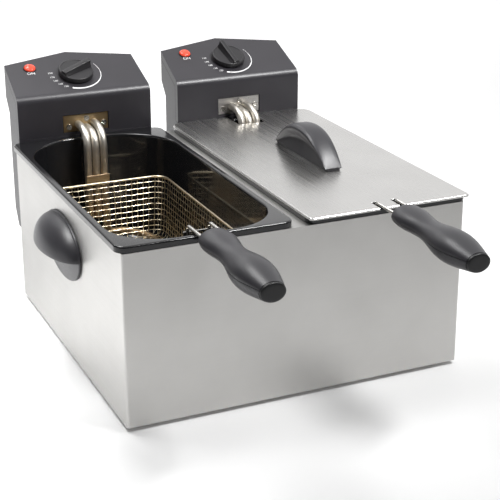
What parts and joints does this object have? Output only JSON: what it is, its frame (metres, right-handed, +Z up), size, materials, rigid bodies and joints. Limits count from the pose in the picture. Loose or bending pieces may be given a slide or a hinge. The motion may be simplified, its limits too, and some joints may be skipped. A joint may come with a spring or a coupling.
{
  "type": "deep fryer",
  "caption": "Countertop deep fryer with two wells: steel housing, lift-out pans, wire baskets, control units with heating elements, and a lid on the right well.",
  "frame": {"origin": "On the surface the fryer stands on, below the middle of its whole box, handles and control units included.", "axes": "+X to the right as seen from the front, +Y to the rear, towards the control units, +Z up. The basket handles point towards -Y."},
  "size_m": [0.4576, 0.654, 0.2973],
  "materials": {
    "steel": "brushed",
    "bright_steel": "polished",
    "nickel": "satin",
    "brass": "satin",
    "enamel": "glossy enamel",
    "charcoal_plastic": "satin",
    "grip_plastic": "satin",
    "black_plastic": "matte",
    "rubber": "matte",
    "red_lens": "translucent",
    "ceramic": "matte"
  },
  "bodies": {
    "housing": {"housing_shell": "steel", "base_plate": "steel", "foot_front_left": "rubber", "foot_front_right": "rubber", "foot_rear_left": "rubber", "foot_rear_right": "rubber", "side_handle_left": "grip_plastic", "side_handle_right": "grip_plastic", "unit_rail_left": "steel", "unit_rail_right": "steel"},
    "pan_left": {"pan_left": "enamel"},
    "unit_left": {"front_cover_left": "charcoal_plastic", "rear_shell_left": "charcoal_plastic", "element_plate_left": "brass", "heating_element_left": "nickel", "thermostat_tube_left": "nickel", "element_clamp_left": "nickel", "plate_screw_left_left": "bright_steel", "plate_screw_centre_left": "bright_steel", "plate_screw_right_left": "bright_steel", "lamp_lens_left": "red_lens", "thermostat_left": "bright_steel", "thermal_cutout_left": "ceramic", "terminal_block_left": "ceramic", "cord_gland_left": "black_plastic"},
    "knob_left": {"knob_left": "black_plastic"},
    "reset_left": {"reset_button_left": "black_plastic"},
    "basket_left": {"basket_mesh_left": "bright_steel", "basket_rim_left": "bright_steel", "handle_bracket_left": "bright_steel", "grip_upper_left": "grip_plastic", "grip_lower_left": "grip_plastic", "grip_cap_left": "black_plastic"},
    "pan_right": {"pan_right": "enamel"},
    "unit_right": {"front_cover_right": "charcoal_plastic", "rear_shell_right": "charcoal_plastic", "element_plate_right": "bright_steel", "heating_element_right": "nickel", "thermostat_tube_right": "nickel", "element_clamp_right": "nickel", "plate_screw_left_right": "bright_steel", "plate_screw_centre_right": "bright_steel", "plate_screw_right_right": "bright_steel", "lamp_lens_right": "red_lens", "thermostat_right": "bright_steel", "thermal_cutout_right": "ceramic", "terminal_block_right": "ceramic", "cord_gland_right": "black_plastic"},
    "knob_right": {"knob_right": "black_plastic"},
    "reset_right": {"reset_button_right": "black_plastic"},
    "basket_right": {"basket_mesh_right": "bright_steel", "basket_rim_right": "bright_steel", "handle_bracket_right": "bright_steel", "grip_upper_right": "grip_plastic", "grip_lower_right": "grip_plastic", "grip_cap_right": "black_plastic"},
    "lid": {"lid_sheet": "steel", "lid_handle": "grip_plastic", "lid_screw_front": "bright_steel", "lid_screw_rear": "bright_steel"}
  },
  "joints": [
    {"name": "pan_left_lift", "type": "slide", "parent": "housing", "child": "pan_left", "axis": [0, 0, 1], "range_m": [0, 0.2]},
    {"name": "unit_left_lift", "type": "slide", "parent": "pan_left", "child": "unit_left", "axis": [0, 0, 1], "range_m": [0, 0.2]},
    {"name": "basket_left_lift", "type": "slide", "parent": "unit_left", "child": "basket_left", "axis": [0, 0, 1], "range_m": [0, 0.2]},
    {"name": "knob_left_turn", "type": "hinge", "parent": "unit_left", "child": "knob_left", "pos_m": [-0.1055, 0.283, 0.27447], "axis": [0, -0.4067, 0.9135], "range_deg": [-30, 185]},
    {"name": "reset_left_press", "type": "slide", "parent": "unit_left", "child": "reset_left", "axis": [0, -1, 0], "range_m": [0, 0.0015], "stiffness_N_per_m": 400, "springref_m": -0.002},
    {"name": "pan_right_lift", "type": "slide", "parent": "housing", "child": "pan_right", "axis": [0, 0, 1], "range_m": [0, 0.2]},
    {"name": "unit_right_lift", "type": "slide", "parent": "pan_right", "child": "unit_right", "axis": [0, 0, 1], "range_m": [0, 0.2]},
    {"name": "basket_right_lift", "type": "slide", "parent": "unit_right", "child": "basket_right", "axis": [0, 0, 1], "range_m": [0, 0.2]},
    {"name": "knob_right_turn", "type": "hinge", "parent": "unit_right", "child": "knob_right", "pos_m": [0.1055, 0.283, 0.27447], "axis": [0, -0.4067, 0.9135], "range_deg": [-104, 111]},
    {"name": "reset_right_press", "type": "slide", "parent": "unit_right", "child": "reset_right", "axis": [0, -1, 0], "range_m": [0, 0.0015], "stiffness_N_per_m": 400, "springref_m": -0.002},
    {"name": "lid_lift", "type": "slide", "parent": "basket_right", "child": "lid", "axis": [0, 0, 1], "range_m": [0, 0.2]}
  ]
}
